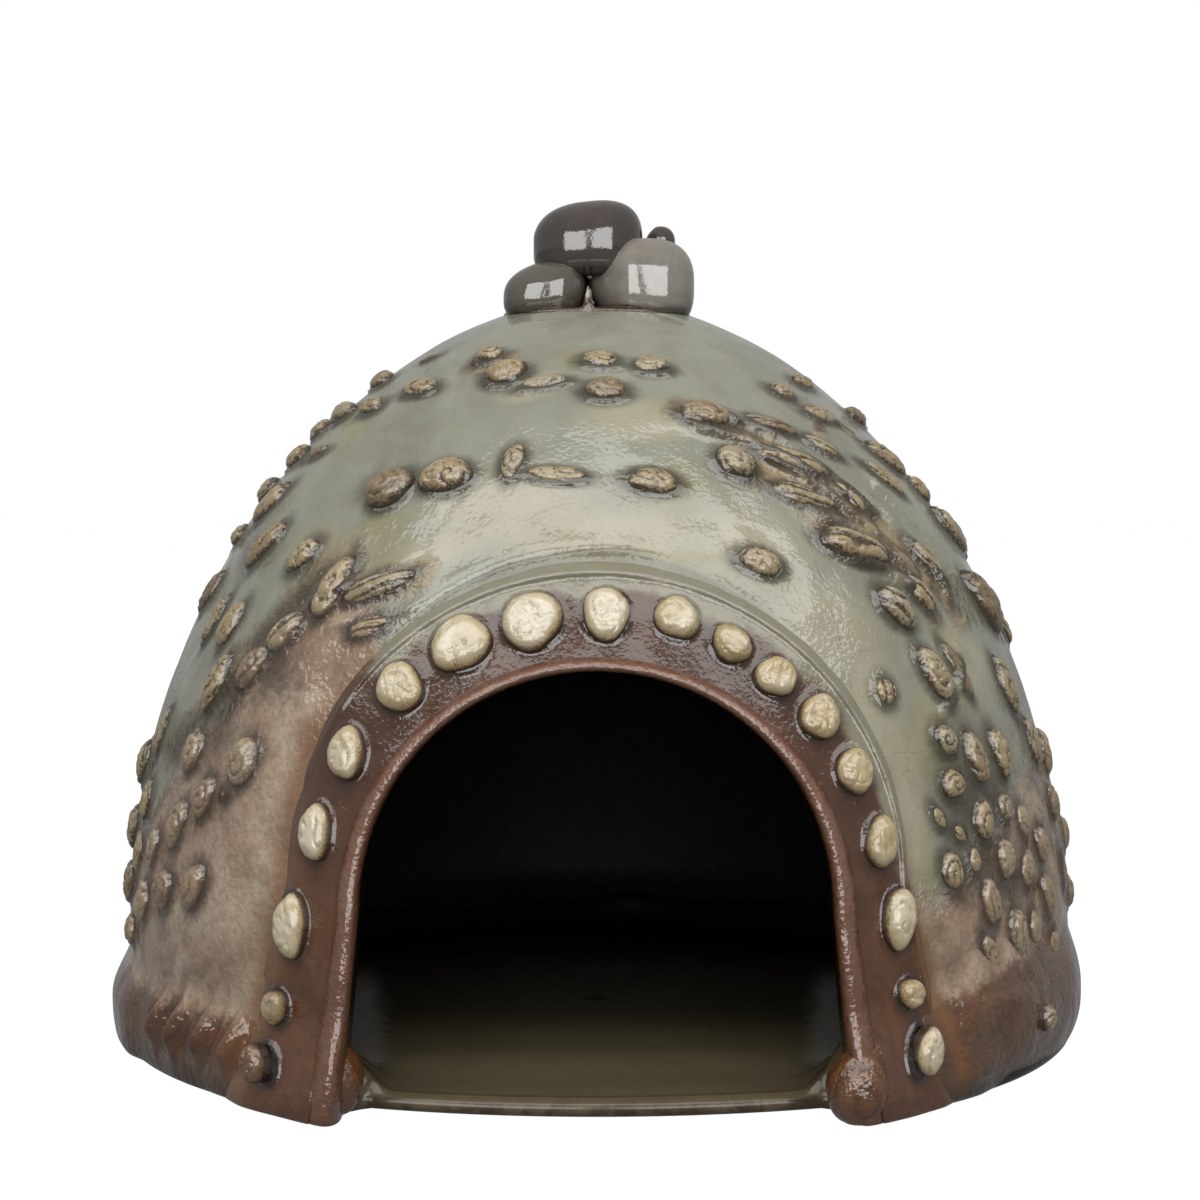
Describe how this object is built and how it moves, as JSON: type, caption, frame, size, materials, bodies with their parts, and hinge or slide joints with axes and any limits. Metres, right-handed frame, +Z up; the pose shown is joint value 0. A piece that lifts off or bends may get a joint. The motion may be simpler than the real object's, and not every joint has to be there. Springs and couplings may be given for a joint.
{
  "type": "toad house",
  "caption": "Domed, glazed stoneware toad house with a round-headed doorway, a rolled foot, pebble-like clay pellets on the wall and a knob of stacked stones.",
  "frame": {"origin": "centre of the underside of the floor slab, on the dome's axis", "axes": "+Z up; the doorway faces -Y; +X is to the right of someone looking in through the doorway"},
  "size_m": [0.18, 0.1751, 0.1533],
  "materials": {
    "wall_glaze": "glossy celadon glaze, mottled",
    "floor_glaze": "glossy olive-brown glaze",
    "iron_glaze": "satin iron-brown glaze",
    "band_glaze": "glossy iron-brown glaze",
    "bead_glaze": "glossy red-brown glaze",
    "door_pebble_glaze": "glossy cream glaze",
    "wall_pebble_glaze": "glossy tan glaze, broken over ridges",
    "knob_clay": "glossy dark glaze",
    "dark_stone": "glossy dark brown-grey glaze",
    "olive_stone": "glossy olive-grey glaze",
    "grey_stone": "glossy warm grey glaze"
  },
  "bodies": {
    "root": {"floor_slab": "floor_glaze", "dome_shell": "wall_glaze", "foot_roll": "iron_glaze", "roll_pleat_1": "iron_glaze", "roll_pleat_2": "iron_glaze", "roll_pleat_3": "iron_glaze", "roll_pleat_4": "iron_glaze", "roll_pad": "iron_glaze", "roll_pebble": "wall_pebble_glaze", "ball_left": "iron_glaze", "ball_right": "iron_glaze", "door_band": "band_glaze", "door_bead": "bead_glaze", "knob_pad": "knob_clay", "knob_top": "dark_stone", "knob_left": "olive_stone", "knob_right": "grey_stone", "knob_back": "dark_stone", "knob_small": "dark_stone", "door_pebble_01": "door_pebble_glaze", "door_pebble_02": "door_pebble_glaze", "door_pebble_03": "door_pebble_glaze", "door_pebble_04": "door_pebble_glaze", "door_pebble_05": "door_pebble_glaze", "door_pebble_06": "door_pebble_glaze", "door_pebble_07": "door_pebble_glaze", "door_pebble_08": "door_pebble_glaze", "door_pebble_09": "door_pebble_glaze", "door_pebble_10": "door_pebble_glaze", "door_pebble_11": "door_pebble_glaze", "door_pebble_12": "door_pebble_glaze", "door_pebble_13": "door_pebble_glaze", "door_pebble_14": "door_pebble_glaze", "door_pebble_15": "door_pebble_glaze", "door_pebble_16": "door_pebble_glaze", "door_pebble_17": "door_pebble_glaze", "door_pebble_18": "door_pebble_glaze", "pebbles_crown": "wall_pebble_glaze", "pebbles_crown_left": "wall_pebble_glaze", "pebbles_crown_right": "wall_pebble_glaze", "pebbles_brow_left": "wall_pebble_glaze", "pebbles_brow_right": "wall_pebble_glaze", "pebbles_leaf_folds": "wall_pebble_glaze", "pebbles_shoulder_left": "wall_pebble_glaze", "pebbles_garland_left": "wall_pebble_glaze", "pebbles_flank_left_high": "wall_pebble_glaze", "pebbles_flank_left_mid": "wall_pebble_glaze", "pebbles_flank_left_low": "wall_pebble_glaze", "pebbles_shoulder_right_high": "wall_pebble_glaze", "pebbles_shoulder_right": "wall_pebble_glaze", "pebbles_flank_right_high": "wall_pebble_glaze", "pebbles_paw_right": "wall_pebble_glaze", "pebbles_flank_right_mid": "wall_pebble_glaze", "pebbles_flank_right_low": "wall_pebble_glaze", "pebbles_edge_right": "wall_pebble_glaze", "pebbles_back_low": "wall_pebble_glaze", "pebbles_back_middle": "wall_pebble_glaze", "pebbles_back_high": "wall_pebble_glaze", "pebbles_back_top": "wall_pebble_glaze"}
  },
  "joints": []
}
